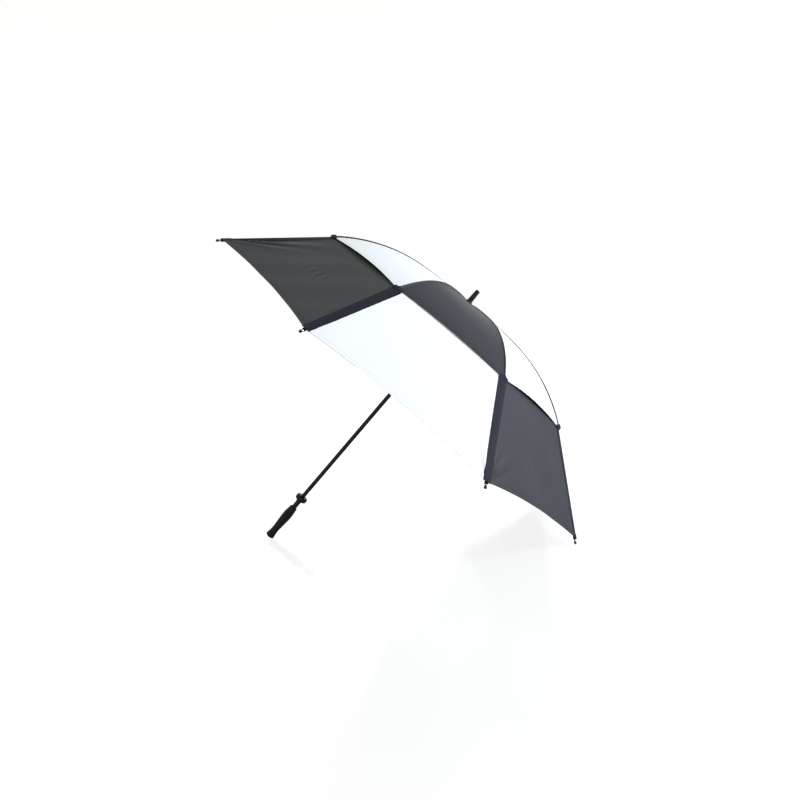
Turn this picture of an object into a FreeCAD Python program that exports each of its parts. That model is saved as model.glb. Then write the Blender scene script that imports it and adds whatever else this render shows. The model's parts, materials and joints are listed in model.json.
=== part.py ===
import FreeCAD, Part
import math
import os

# A vented golf umbrella, open and lying on the floor on the edge of its grip and the
# tips of its two lowest ribs. Millimetres, +Z up. It is drawn upright in its own frame,
# with +Z along the shaft from the end of the handle and +X towards the side that lies
# down, and every piece is then laid down by one placement, laid_down().
# Pieces that turn touch only on pins and wires, with the clearances named below.

V = FreeCAD.Vector
UP = V(0, 0, 1)
ACROSS = V(0, 1, 0)

# Canopy
rib_count = 8
span_radius = 655.0         # shaft axis to the far end of a rib tip
apex_height = 916.0         # end of the handle to the top of the canopy
crown_radius = 1700.0       # the nearly flat middle of the dome
crown_reach = 183.0         # where the crown meets the shoulder
shoulder_radius = 476.0     # the sprung bend of the ribs
skirt_slope = 40.3          # degrees below level, straight from there to the tips
vent_inner_gap = 14.0       # from the elbows to the inner edge of the lower canopy
vent_overlap = 73.0         # how far the upper canopy reaches over the lower, at a rib
hem_setback = 9.0           # from the end of a tip to the outer edge of the lower canopy
vent_scallop = 9.0          # how far the upper edge is hollowed between two ribs
hem_scallop = 12.0          # the same at the hem
inner_scallop = 4.0         # and at the inner edge of the lower canopy
cloth = 0.6                 # thickness of one layer
layer_gap = 0.5             # between the upper and the lower canopy
seam_gap = 0.4              # between neighbouring panels
rod_clearance = 1.0         # between the cloth and the rods

# Ribs and stretchers
rod_radius = 2.0
tab_thickness = 2.4         # flattened ends of the rods
eye_radius = 2.6
pin_radius = 1.0
pin_clearance = 0.05
tab_reach = 14.0            # from the pivot to the round part of the rod
elbow_radius = 338.0        # where the inner rib ends and the sprung outer rib starts
elbow_rod_gap = 6.0         # from the elbow pin to the end of the inner rod
elbow_plate = 1.0
elbow_plate_gap = 0.25      # between a plate and the tab beside it
elbow_plate_radius = 3.2
elbow_plate_reach = 14.0
clip_back = 3.0             # stretcher pin, back along the rib from the elbow pin
clip_drop = 6.8             # and below it
outer_tab_reach = 5.0
stretcher_height = 3.4
stretcher_flange = 3.4      # width
stretcher_flange_height = 0.9
tip_radius = 2.5
tip_length = 17.0           # sleeve, back from the middle of the ball
tip_wall_end = 4.0
ball_radius = 3.6

# Shaft, crown piece and runner
shaft_radius = 6.25
shaft_wall = 0.9
fixed_gap = 0.02            # between pieces that are glued or pressed together
slide_gap = 0.08            # between the runner and the shaft
cloth_hole_radius = shaft_radius + 1.75
pivot_radius = shaft_radius + 5.75      # the wire rings, from the shaft axis
wire_radius = 0.75
wire_groove_gap = 0.05
wire_eye_gap = 0.25         # the eyes are straight and the wire is bent
slot_width = 3.0
slot_floor_radius = shaft_radius + 2.65
crown_piece_radius = pivot_radius + 3.5
crown_piece_above = 2.9     # above the wire
crown_piece_below = 9.0
runner_above = 3.2
runner_below = 8.0
runner_length = 40.0        # below the wire
runner_sleeve_radius = shaft_radius + 3.25
runner_foot_radius = shaft_radius + 6.25
runner_foot_height = 3.0
window_width = 3.6
window_from_foot = 7.0
window_height = 11.0
closed_clip_radius = pivot_radius + 12.0   # stretcher pin, from the axis, when folded

# Spring catches in the shaft
catch_thickness = 2.0
catch_length = 32.0
catch_nose_radius = shaft_radius + 2.55     # from the shaft axis
catch_nose_height = 9.0
catch_nose_lip = 2.5
catch_slot_width = 2.8
catch_slot_margin = 1.0
catch_gap = 0.8             # below the runner, more than a pressed nose rises
catch_pin_radius = 0.9
catch_side = 90.0           # degrees round the shaft

# Handle
grip_length = 120.0
grip_foot_radius = shaft_radius + 6.95
grip_waist_radius = shaft_radius + 4.75
grip_waist_height = 27.0
grip_belly_radius = shaft_radius + 8.15
grip_belly_drop = 30.0      # from the top of the grip to its widest part
grip_shoulder_radius = shaft_radius + 5.75
grip_edge = 3.0             # rounding at the foot and the shoulder
groove_pitch = 5.8
groove_first = 11.0
groove_last_drop = 14.0     # from the top of the grip, at least, to the last groove
groove_radius = 1.5
groove_depth = 0.8
end_cap_radius = shaft_radius + 3.75
end_cap_thickness = 5.0
end_cap_stand = 1.0         # below the rubber
end_cap_chamfer = 0.8
end_cap_stem = 20.0
stem_gap = 0.05
neck_radius = shaft_radius + 1.5
hub_radius = shaft_radius + 3.75
hub_height = 9.0
collar_stand = 36.0         # from the top of the grip to the middle of the ring
collar_thickness = 16.0
collar_radius = shaft_radius + 12.25
collar_rounding = 5.5

# Ferrule
washer_radius = shaft_radius + 6.75
washer_rim = 2.0
washer_height = 6.5
washer_top_radius = shaft_radius + 2.15
washer_gap = 0.3            # above the cloth
ferrule_length = 44.0       # top of the canopy to the end of the ferrule
ferrule_base_radius = shaft_radius + 1.75
ferrule_tip_radius = shaft_radius + 0.25
ferrule_rounding = 2.6
shaft_in_ferrule = 24.0

# Worked out from the sizes above
half_sector = math.pi / rib_count
vent_inner_radius = elbow_radius + vent_inner_gap
vent_edge_radius = vent_inner_radius + vent_overlap
hem_radius = span_radius - hem_setback
collar_height = grip_length + collar_stand
groove_count = 1 + int((grip_length - groove_last_drop - groove_first) / groove_pitch)
crown_angle = math.asin(crown_reach / crown_radius)
skirt_angle = math.radians(skirt_slope)
shoulder_centre_r = (crown_radius - shoulder_radius) * math.sin(crown_angle)
shoulder_centre_z = apex_height - crown_radius + (crown_radius - shoulder_radius) * math.cos(crown_angle)
shoulder_reach = shoulder_centre_r + shoulder_radius * math.sin(skirt_angle)
lower_depth = cloth + layer_gap
rib_depth = lower_depth + cloth + rod_clearance + rod_radius
wire_eye_radius = wire_radius + wire_eye_gap


def outline_point(radius, depth=0.0):
    """The point in the XZ plane that lies depth below the dome's outer skin at this radius, and the skin's slope there."""
    if radius <= crown_reach:
        angle = math.asin(radius / crown_radius)
        height = apex_height - crown_radius * (1 - math.cos(angle))
    elif radius <= shoulder_reach:
        angle = math.asin((radius - shoulder_centre_r) / shoulder_radius)
        height = shoulder_centre_z + shoulder_radius * math.cos(angle)
    else:
        angle = skirt_angle
        shoulder_end = shoulder_centre_z + shoulder_radius * math.cos(angle)
        height = shoulder_end - (radius - shoulder_reach) * math.tan(angle)
    point = V(radius - depth * math.sin(angle), 0, height - depth * math.cos(angle))
    return point, angle


def outline(start, end, depth=0.0):
    """Edges of the dome's outline between two radii: crown arc, shoulder arc, straight skirt."""
    stops = [start] + [r for r in (crown_reach, shoulder_reach) if start < r < end] + [end]
    edges = []
    for a, b in zip(stops, stops[1:]):
        first = outline_point(a, depth)[0]
        last = outline_point(b, depth)[0]
        if a >= shoulder_reach:
            edges.append(Part.LineSegment(first, last).toShape())
        else:
            middle = outline_point((a + b) / 2, depth)[0]
            edges.append(Part.Arc(first, middle, last).toShape())
    return edges


def along(point, angle, forward, outward=0.0):
    """A point moved down the slope by forward, and away from the dome's inside by outward."""
    return point + V(
        forward * math.cos(angle) + outward * math.sin(angle),
        0,
        -forward * math.sin(angle) + outward * math.cos(angle),
    )


def turned(shape, degrees):
    """A copy of the shape, turned round the shaft axis."""
    copy = shape.copy()
    copy.rotate(V(0, 0, 0), UP, degrees)
    return copy


def rib_angle(number):
    """Direction of a rib in degrees. The first and the last rib lie on the floor."""
    return (number - 0.5) * 360.0 / rib_count


def plate(outline_face, thickness, middle=0.0):
    """A face in the XZ plane, thickened along Y about the given middle."""
    face = outline_face.copy()
    face.translate(V(0, middle - thickness / 2, 0))
    return face.extrude(V(0, thickness, 0))


def link_face(a, b, radius_a, radius_b):
    """The outline of a belt round two discs in the XZ plane."""
    span = b - a
    length = span.Length
    u = span / length
    w = V(-u.z, 0, u.x)
    lean = (radius_a - radius_b) / length
    side = math.sqrt(1 - lean * lean)
    a1 = a + (u * lean + w * side) * radius_a
    a2 = a + (u * lean - w * side) * radius_a
    b1 = b + (u * lean + w * side) * radius_b
    b2 = b + (u * lean - w * side) * radius_b
    edges = [
        Part.LineSegment(a1, b1).toShape(),
        Part.Arc(b1, b + u * radius_b, b2).toShape(),
        Part.LineSegment(b2, a2).toShape(),
        Part.Arc(a2, a - u * radius_a, a1).toShape(),
    ]
    return Part.Face(Part.Wire(edges))


def cross_pin(centre, radius, length):
    """A round pin along Y, centred on the XZ plane."""
    return Part.makeCylinder(radius, length, centre - V(0, length / 2, 0), ACROSS)


def rod(start, end):
    """A round rod along the dome's outline, under the cloth."""
    path = Part.Wire(outline(start, end, rib_depth))
    first, angle = outline_point(start, rib_depth)
    section = Part.Wire(Part.makeCircle(rod_radius, first, V(math.cos(angle), 0, -math.sin(angle))))
    return path.makePipeShell([section], True, False)


def ring_about_shaft(points):
    """A solid turned from a closed outline of straight lines in the XZ plane."""
    wire = Part.makePolygon([V(r, 0, z) for r, z in points + points[:1]])
    return Part.Face(wire).revolve(V(0, 0, 0), UP, 360)


# Pivots, in the plane of one rib
crown_pivot = V(pivot_radius, 0, apex_height - rib_depth)
elbow_pivot, elbow_slope = outline_point(elbow_radius, rib_depth)
clip_pivot = along(elbow_pivot, elbow_slope, -clip_back, -clip_drop)
link_length = (clip_pivot - crown_pivot).Length
runner_open_height = 2 * clip_pivot.z - crown_pivot.z
runner_pivot = V(pivot_radius, 0, runner_open_height)
open_angle = math.asin((crown_pivot.z - clip_pivot.z) / link_length)
folded_angle = math.acos((closed_clip_radius - pivot_radius) / link_length)
fold_degrees = math.degrees(folded_angle - open_angle)
runner_closed_height = crown_pivot.z - 2 * link_length * math.sin(folded_angle)
ball_centre_r = span_radius - ball_radius
ball_station = ball_centre_r + rib_depth * math.sin(skirt_angle)
ball_centre = outline_point(ball_station, rib_depth)[0]


def rib_inner():
    """Inner rib: an eye on the crown wire, a rod, and the elbow's two plates with their pins."""
    start = outline_point(crown_pivot.x + tab_reach, rib_depth)[0]
    eye = link_face(crown_pivot, start, eye_radius, rod_radius)
    tab = plate(eye, tab_thickness).cut(cross_pin(crown_pivot, wire_eye_radius, 2 * tab_thickness))
    rod_end = elbow_radius - elbow_rod_gap * math.cos(elbow_slope)
    body = tab.fuse(rod(crown_pivot.x + tab_reach - rod_radius, rod_end))
    back = along(elbow_pivot, elbow_slope, -elbow_plate_reach)
    corners = [elbow_pivot, clip_pivot, back]
    outlines = [Part.Face(Part.makePolygon(corners + corners[:1]))]
    for a, b in zip(corners, corners[1:] + corners[:1]):
        outlines.append(link_face(a, b, elbow_plate_radius, elbow_plate_radius))
    middle = tab_thickness / 2 + elbow_plate_gap + elbow_plate / 2
    for side in (-1, 1):
        for face in outlines:
            body = body.fuse(plate(face, elbow_plate, side * middle))
    pin_length = 2 * middle + elbow_plate
    for pivot in (elbow_pivot, clip_pivot):
        body = body.fuse(cross_pin(pivot, pin_radius, pin_length))
    return body.removeSplitter()


def rib_outer():
    """Outer rib: an eye on the elbow pin and a sprung rod out to the tip."""
    rod_start = elbow_radius + outer_tab_reach * math.cos(elbow_slope)
    tab_end = outline_point(rod_start + rod_radius, rib_depth)[0]
    eye = link_face(elbow_pivot, tab_end, eye_radius, rod_radius)
    hole = cross_pin(elbow_pivot, pin_radius + pin_clearance, 2 * tab_thickness)
    tab = plate(eye, tab_thickness).cut(hole)
    rod_end = ball_station - (tip_wall_end + fixed_gap) * math.cos(skirt_angle)
    return tab.fuse(rod(rod_start, rod_end)).removeSplitter()


def rib_tip():
    """Tip: a sleeve over the end of the rod, and a ball."""
    outwards = V(math.cos(skirt_angle), 0, -math.sin(skirt_angle))
    base = ball_centre - outwards * tip_length
    sleeve = Part.makeCylinder(tip_radius, tip_length, base, outwards)
    ball = Part.makeSphere(ball_radius, ball_centre)
    bore = Part.makeCylinder(rod_radius + fixed_gap, tip_length - tip_wall_end, base, outwards)
    return sleeve.fuse(ball).cut(bore)


def stretcher():
    """Stretcher: a flat link from the runner wire to the elbow's lower pin, with a stiffening flange."""
    reach = (clip_pivot - runner_pivot).normalize()
    half = stretcher_height / 2
    near = runner_pivot + reach * tab_reach
    far = clip_pivot - reach * tab_reach
    body = plate(link_face(runner_pivot, near, eye_radius, half), tab_thickness)
    body = body.fuse(plate(link_face(near, far, half, half), tab_thickness))
    body = body.fuse(plate(link_face(clip_pivot, far, eye_radius, half), tab_thickness))
    over = V(-reach.z, 0, reach.x)
    low = over * -half
    high = low + over * stretcher_flange_height
    strip = Part.makePolygon([near + low, far + low, far + high, near + high, near + low])
    body = body.fuse(plate(Part.Face(strip), stretcher_flange))
    body = body.cut(cross_pin(runner_pivot, wire_eye_radius, 2 * tab_thickness))
    body = body.cut(cross_pin(clip_pivot, pin_radius + pin_clearance, 2 * tab_thickness))
    return body.removeSplitter()


def hollowed_edge(radius, hollow, outer):
    """A tall block beyond (outer) or within an edge that runs from rib to rib, hollowed between them."""
    far = 2 * span_radius
    corner_x = radius * math.cos(half_sector)
    corner_y = radius * math.sin(half_sector)
    # the arc is carried a little past the ribs, on the same circle
    bend = (corner_y ** 2 + hollow ** 2) / (2 * hollow)
    reach_y = corner_y * 1.05
    centre_x = corner_x - hollow + bend
    reach_x = centre_x - math.sqrt(bend ** 2 - reach_y ** 2)
    arc = Part.Arc(V(reach_x, -reach_y, 0), V(corner_x - hollow, 0, 0), V(reach_x, reach_y, 0))
    side_x = far if outer else -far
    points = [V(reach_x, reach_y, 0), V(side_x, reach_y, 0), V(side_x, -reach_y, 0), V(reach_x, -reach_y, 0)]
    edges = [arc.toShape()]
    edges += [Part.LineSegment(a, b).toShape() for a, b in zip(points, points[1:])]
    return Part.Face(Part.Wire(edges)).extrude(V(0, 0, 2 * apex_height))


def panel(start, end, depth):
    """One cloth panel, stretched straight across from rib to rib."""
    sections = []
    for side in (-1, 1):
        top = outline(start, end, depth)
        bottom = outline(start, end, depth + cloth)
        inner_end = Part.LineSegment(outline_point(start, depth + cloth)[0], outline_point(start, depth)[0])
        outer_end = Part.LineSegment(outline_point(end, depth)[0], outline_point(end, depth + cloth)[0])
        wire = Part.Wire(Part.sortEdges(top + [outer_end.toShape()] + bottom + [inner_end.toShape()])[0])
        wire.translate(V(0, -side * seam_gap / 2, 0))
        wire.rotate(V(0, 0, 0), UP, side * math.degrees(half_sector))
        sections.append(wire)
    return Part.makeLoft(sections, True, True)


def upper_panel():
    """Panel of the upper canopy, from the shaft to the vent's edge."""
    whole = panel(cloth_hole_radius, vent_edge_radius, 0.0)
    return whole.cut(hollowed_edge(vent_edge_radius, vent_scallop, True))


def lower_panel():
    """Panel of the lower canopy, from under the vent to the hem."""
    margin = inner_scallop / math.cos(half_sector)
    whole = panel(vent_inner_radius - margin, hem_radius, lower_depth)
    whole = whole.cut(hollowed_edge(hem_radius, hem_scallop, True))
    return whole.cut(hollowed_edge(vent_inner_radius, inner_scallop, False))


def slotted_head(height, above, below):
    """A round head with one slot for each rib and a groove for the wire ring."""
    head = Part.makeCylinder(crown_piece_radius, above + below, V(0, 0, height - below))
    length = 2 * crown_piece_radius
    slot = Part.makeBox(length, slot_width, 2 * (above + below))
    slot.translate(V(slot_floor_radius, -slot_width / 2, height - below - above))
    for number in range(1, rib_count + 1):
        head = head.cut(turned(slot, rib_angle(number)))
    groove = Part.makeTorus(pivot_radius, wire_radius + wire_groove_gap, V(0, 0, height))
    return head.cut(groove)


def top_notch():
    """Crown piece, fixed near the top of the shaft, that carries the ribs."""
    head = slotted_head(crown_pivot.z, crown_piece_above, crown_piece_below)
    bore = Part.makeCylinder(shaft_radius + fixed_gap, 2 * apex_height)
    return head.cut(bore)


def wire_ring(height):
    """The wire that the eyes turn on."""
    return Part.makeTorus(pivot_radius, wire_radius, V(0, 0, height))


def runner():
    """Runner: a slotted head on a sleeve that slides on the shaft, with a window for the catch."""
    foot = runner_open_height - runner_length
    body = slotted_head(runner_open_height, runner_above, runner_below)
    body = body.fuse(Part.makeCylinder(runner_sleeve_radius, runner_length - runner_below, V(0, 0, foot)))
    body = body.fuse(Part.makeCylinder(runner_foot_radius, runner_foot_height, V(0, 0, foot)))
    window = Part.makeBox(2 * runner_foot_radius, window_width, window_height)
    window.translate(V(0, -window_width / 2, foot + window_from_foot))
    bore = Part.makeCylinder(shaft_radius + slide_gap, 2 * apex_height)
    return body.cut(turned(window, catch_side)).cut(bore).removeSplitter()


def catch_places():
    """For each spring catch: the height of the nose's holding face, and which way the nose points."""
    top = runner_open_height - runner_length - catch_gap
    window_foot = runner_closed_height - runner_length + window_from_foot
    bottom = window_foot + (window_height - catch_nose_height) / 2
    return {"top_catch": (top, 1), "bottom_catch": (bottom, -1)}


def catch_pivot(face_height, points_up):
    """Where a catch turns: on the shaft axis, away from its nose."""
    return V(0, 0, face_height - points_up * (catch_length + catch_nose_height / 2))


def spring_catch(face_height, points_up):
    """A sprung blade inside the shaft, with a nose through the wall and its cross pin."""
    pivot = catch_pivot(face_height, points_up)
    inside = shaft_radius - shaft_wall
    blade_radius = inside * 0.3
    blade_end = V(inside - 2 * blade_radius, 0, face_height - points_up * blade_radius)
    body = plate(link_face(pivot, blade_end, blade_radius, blade_radius), catch_thickness)
    nose = [
        V(blade_end.x, 0, face_height),
        V(catch_nose_radius, 0, face_height),
        V(catch_nose_radius, 0, face_height - points_up * catch_nose_lip),
        V(blade_end.x, 0, face_height - points_up * catch_nose_height),
    ]
    body = body.fuse(plate(Part.Face(Part.makePolygon(nose + nose[:1])), catch_thickness))
    body = body.fuse(cross_pin(pivot, catch_pin_radius, 2 * shaft_radius - 2 * catch_slot_margin / 5))
    return turned(body.removeSplitter(), catch_side)


def shaft():
    """Shaft: a tube, with a slot and a pin hole for each catch."""
    bottom = end_cap_thickness + fixed_gap
    top = apex_height + shaft_in_ferrule
    tube = Part.makeCylinder(shaft_radius, top - bottom, V(0, 0, bottom))
    tube = tube.cut(Part.makeCylinder(shaft_radius - shaft_wall, top - bottom, V(0, 0, bottom)))
    for face_height, points_up in catch_places().values():
        middle = face_height - points_up * catch_nose_height / 2
        height = catch_nose_height + 2 * catch_slot_margin
        slot = Part.makeBox(2 * shaft_radius, catch_slot_width, height)
        slot.translate(V(0, -catch_slot_width / 2, middle - height / 2))
        hole = cross_pin(catch_pivot(face_height, points_up), catch_pin_radius + pin_clearance, 4 * shaft_radius)
        tube = tube.cut(turned(slot, catch_side)).cut(turned(hole, catch_side))
    return tube


def grip_radius(height):
    """Radius of the grip: three half waves, foot to waist, waist to belly, belly to shoulder."""
    stations = [
        (grip_edge + end_cap_stand, grip_foot_radius),
        (grip_waist_height, grip_waist_radius),
        (grip_length - grip_belly_drop, grip_belly_radius),
        (grip_length - grip_edge, grip_shoulder_radius),
    ]
    for (z0, r0), (z1, r1) in zip(stations, stations[1:]):
        if height <= z1:
            share = (height - z0) / (z1 - z0)
            return r0 + (r1 - r0) * (1 - math.cos(math.pi * share)) / 2
    return grip_shoulder_radius


def grip_side(low, high):
    """Edges of the grip's outside from the foot up: plain lands, and a round groove cut between them."""
    half_width = math.sqrt(groove_radius ** 2 - (groove_radius - groove_depth) ** 2)
    edges = []
    start = low
    for i in range(groove_count):
        middle = groove_first + groove_pitch * i
        edges.append(grip_land(start, middle - half_width))
        floor = V(grip_radius(middle) - groove_depth, 0, middle)
        edge = [V(grip_radius(z), 0, z) for z in (middle - half_width, middle + half_width)]
        edges.append(Part.Arc(edge[0], floor, edge[1]).toShape())
        start = middle + half_width
    edges.append(grip_land(start, high))
    return edges


def grip_land(start, end):
    """A smooth stretch of the grip's outside."""
    heights = [start + (end - start) * i / 4 for i in range(5)]
    land = Part.BSplineCurve()
    land.interpolate([V(grip_radius(z), 0, z) for z in heights])
    return land.toShape()


def handle_grip():
    """Rubber grip: a waisted sleeve with ring grooves, open below for the end cap."""
    low = end_cap_stand + grip_edge
    high = grip_length - grip_edge
    bend = grip_edge * math.sqrt(0.5)
    foot_middle = V(grip_foot_radius - grip_edge + bend, 0, low - bend)
    foot_inner = V(grip_foot_radius - grip_edge, 0, end_cap_stand)
    shoulder_middle = V(grip_shoulder_radius - grip_edge + bend, 0, high + bend)
    shoulder_inner = V(grip_shoulder_radius - grip_edge, 0, grip_length)
    bore = neck_radius + fixed_gap
    seat = end_cap_radius + fixed_gap
    inside = [
        shoulder_inner,
        V(bore, 0, grip_length),
        V(bore, 0, end_cap_thickness + fixed_gap),
        V(seat, 0, end_cap_thickness + fixed_gap),
        V(seat, 0, end_cap_stand),
        foot_inner,
    ]
    edges = [Part.Arc(foot_inner, foot_middle, V(grip_foot_radius, 0, low)).toShape()]
    edges += grip_side(low, high)
    edges.append(Part.Arc(V(grip_shoulder_radius, 0, high), shoulder_middle, shoulder_inner).toShape())
    edges += [Part.LineSegment(a, b).toShape() for a, b in zip(inside, inside[1:])]
    return Part.Face(Part.Wire(edges)).revolve(V(0, 0, 0), UP, 360)


def handle_end_cap():
    """Hard cap under the grip, with a stem that plugs the shaft."""
    stem = shaft_radius - shaft_wall - stem_gap
    inner = end_cap_radius - end_cap_chamfer
    return ring_about_shaft([
        (0, 0),
        (inner, 0),
        (end_cap_radius, end_cap_chamfer),
        (end_cap_radius, end_cap_thickness),
        (stem, end_cap_thickness),
        (stem, end_cap_thickness + end_cap_stem),
        (0, end_cap_thickness + end_cap_stem),
    ])


def handle_collar():
    """Hard sleeve under the grip that shows as the neck, its hub, and the round ring on it."""
    low = collar_height - collar_thickness / 2
    start = end_cap_thickness + fixed_gap
    sleeve = Part.makeCylinder(neck_radius, low - start, V(0, 0, start))
    hub = Part.makeCone(neck_radius, hub_radius, hub_height, V(0, 0, low - hub_height))
    ring = Part.makeCylinder(collar_radius, collar_thickness, V(0, 0, low))
    rims = [e for e in ring.Edges if isinstance(e.Curve, Part.Circle)]
    ring = ring.makeFillet(collar_rounding, rims)
    bore = Part.makeCylinder(shaft_radius + fixed_gap, apex_height)
    return sleeve.fuse(hub).fuse(ring).cut(bore).removeSplitter()


def canopy_washer():
    """Flared washer that holds the cloth down round the shaft."""
    base = apex_height + washer_gap
    bore = shaft_radius + fixed_gap
    return ring_about_shaft([
        (bore, base),
        (washer_radius, base),
        (washer_radius, base + washer_rim),
        (washer_top_radius, base + washer_height),
        (bore, base + washer_height),
    ])


def ferrule():
    """Tapered end piece over the top of the shaft."""
    base = apex_height + washer_gap + washer_height + fixed_gap
    length = apex_height + ferrule_length - base
    body = Part.makeCone(ferrule_base_radius, ferrule_tip_radius, length, V(0, 0, base))
    rim = [e for e in body.Edges if e.BoundBox.ZMin > base + length / 2 and isinstance(e.Curve, Part.Circle)]
    body = body.makeFillet(ferrule_rounding, rim)
    depth = apex_height + shaft_in_ferrule + fixed_gap - base
    return body.cut(Part.makeCylinder(shaft_radius + fixed_gap, depth, V(0, 0, base)))


def floor_normal():
    """Up, as seen from the upright drawing: the floor touches the grip's rounded foot and two balls."""
    grip_edge_centre = V(grip_foot_radius - grip_edge, 0, end_cap_stand + grip_edge)
    ball = V(ball_centre.x * math.cos(half_sector), 0, ball_centre.z)
    span = ball - grip_edge_centre
    length = span.Length
    u = span / length
    lean = (ball_radius - grip_edge) / length
    normal = V(-u.z, 0, u.x) * math.sqrt(1 - lean * lean) + u * lean
    return normal, normal.dot(grip_edge_centre) - grip_edge


def laid_down():
    """The placement that lays the upright drawing on the floor, with the middle of its box over the origin."""
    normal, floor = floor_normal()
    tilt = math.degrees(math.atan2(-normal.x, normal.z))
    turn = FreeCAD.Placement(V(0, 0, 0), FreeCAD.Rotation(ACROSS, tilt))
    lowest = turned(rib_tip(), rib_angle(1))
    lowest.Placement = turn.multiply(lowest.Placement)
    grip = handle_grip()
    grip.Placement = turn.multiply(grip.Placement)
    far = lowest.optimalBoundingBox(False).XMax
    near = grip.optimalBoundingBox(False).XMin
    return FreeCAD.Placement(V(-(far + near) / 2, 0, -floor), FreeCAD.Rotation(ACROSS, tilt))


def build():
    """Every node of the umbrella, upright."""
    nodes = {
        "shaft": shaft(),
        "top_notch": top_notch(),
        "notch_wire": wire_ring(crown_pivot.z),
        "runner": runner(),
        "runner_wire": wire_ring(runner_open_height),
        "handle_grip": handle_grip(),
        "handle_collar": handle_collar(),
        "handle_end_cap": handle_end_cap(),
        "canopy_washer": canopy_washer(),
        "ferrule": ferrule(),
    }
    for name, (face_height, points_up) in catch_places().items():
        nodes[name] = spring_catch(face_height, points_up)
    per_rib = {
        "rib_inner": rib_inner(),
        "rib_outer": rib_outer(),
        "rib_tip": rib_tip(),
        "stretcher": stretcher(),
    }
    panels = {"upper_panel": upper_panel(), "lower_panel": lower_panel()}
    for number in range(1, rib_count + 1):
        for name, shape in per_rib.items():
            nodes[f"{name}_{number}"] = turned(shape, rib_angle(number))
        for name, shape in panels.items():
            nodes[f"{name}_{number}"] = turned(shape, rib_angle(number + 0.5))
    return nodes


def export():
    """Lays every node down and writes it as a STEP file."""
    os.makedirs("parts", exist_ok=True)
    place = laid_down()
    for name, shape in build().items():
        shape.Placement = place.multiply(shape.Placement)
        shape.exportStep(f"parts/{name}.step")


export()
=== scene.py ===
"""Looks of a vented golf umbrella, lying open on a floor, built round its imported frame.

Metres throughout. Shapes are worked out in the umbrella's upright frame, with Z along the
shaft from the end of the handle and X towards the side that lies down, and Stance carries
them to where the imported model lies.
"""

import json
import logging
import math
from collections.abc import Callable
from dataclasses import dataclass, field
from enum import Enum

import bpy
import numpy as np
from mathutils import Matrix


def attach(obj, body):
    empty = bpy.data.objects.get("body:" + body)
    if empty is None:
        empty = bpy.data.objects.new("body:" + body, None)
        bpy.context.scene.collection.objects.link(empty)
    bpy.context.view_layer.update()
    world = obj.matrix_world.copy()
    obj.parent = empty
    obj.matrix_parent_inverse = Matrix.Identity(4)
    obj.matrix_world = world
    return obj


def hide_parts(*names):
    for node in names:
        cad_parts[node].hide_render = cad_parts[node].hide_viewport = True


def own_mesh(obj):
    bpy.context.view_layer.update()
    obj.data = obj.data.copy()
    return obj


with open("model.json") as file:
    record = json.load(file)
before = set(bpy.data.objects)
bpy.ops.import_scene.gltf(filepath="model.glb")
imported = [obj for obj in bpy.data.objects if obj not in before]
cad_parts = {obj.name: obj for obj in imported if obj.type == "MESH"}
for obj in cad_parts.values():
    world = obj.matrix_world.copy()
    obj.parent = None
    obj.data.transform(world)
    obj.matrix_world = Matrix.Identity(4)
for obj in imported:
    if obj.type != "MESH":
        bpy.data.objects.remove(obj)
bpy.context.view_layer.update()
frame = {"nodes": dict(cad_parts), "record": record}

log = logging.getLogger("umbrella")
Array = np.ndarray
Colour = tuple[float, float, float]

RIBS = 8
HALF_SECTOR = math.pi / RIBS
GRIP_MOUNT_HEIGHT = 0.060
UP = (0.0, 0.0, 1.0)


def smooth(share: Array) -> Array:
    """Eases a share from 0 to 1: three times its square less twice its cube, held at both ends."""
    held = np.clip(share, 0.0, 1.0)
    return held * held * (3.0 - 2.0 * held)


def unit(vectors: Array) -> Array:
    """Vectors brought to length 1."""
    return vectors / np.linalg.norm(vectors, axis=-1, keepdims=True)


# ---------------------------------------------------------------- materials


def operators(operation: str) -> tuple[Callable, Callable]:
    """A Math node's operation as two methods: as written, and with the plain number first."""

    def plain(self: "Number", other: object) -> "Number":
        """The number, the operation, then the other value."""
        return self.result(operation, self, other)

    def reflected(self: "Number", other: object) -> "Number":
        """The other value, the operation, then the number."""
        return self.result(operation, other, self)

    return plain, reflected


class Number:
    """A number inside a shader: an output socket on which Python's operators add Math nodes."""

    __add__, __radd__ = operators("ADD")
    __sub__, __rsub__ = operators("SUBTRACT")
    __mul__, __rmul__ = operators("MULTIPLY")
    __pow__ = operators("POWER")[0]

    def __init__(self, tree: "ShaderTree", socket: bpy.types.NodeSocket) -> None:
        """Wraps an output socket of a tree."""
        self.tree = tree
        self.socket = socket

    def result(self, operation: str, first: object, second: object = 0.0) -> "Number":
        """Adds one Math node.

        Args:
            operation: The node's operation.
            first: A Number or a plain number.
            second: A Number or a plain number.

        Returns:
            The node's result.
        """
        inputs = {i: v.socket if isinstance(v, Number) else v for i, v in enumerate((first, second))}
        node = self.tree.node("ShaderNodeMath", {"operation": operation}, inputs)
        return Number(self.tree, node.outputs[0])

    def sine(self) -> "Number":
        """Sine, in radians."""
        return self.result("SINE", self)

    def eased(self, start: float, end: float, low: float, high: float) -> "Number":
        """low up to start, high from end on, and a smooth step between them."""
        inputs = {"Value": self.socket, "From Min": start, "From Max": end, "To Min": low, "To Max": high}
        node = self.tree.node("ShaderNodeMapRange", {"interpolation_type": "SMOOTHSTEP"}, inputs)
        return Number(self.tree, node.outputs[0])


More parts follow.
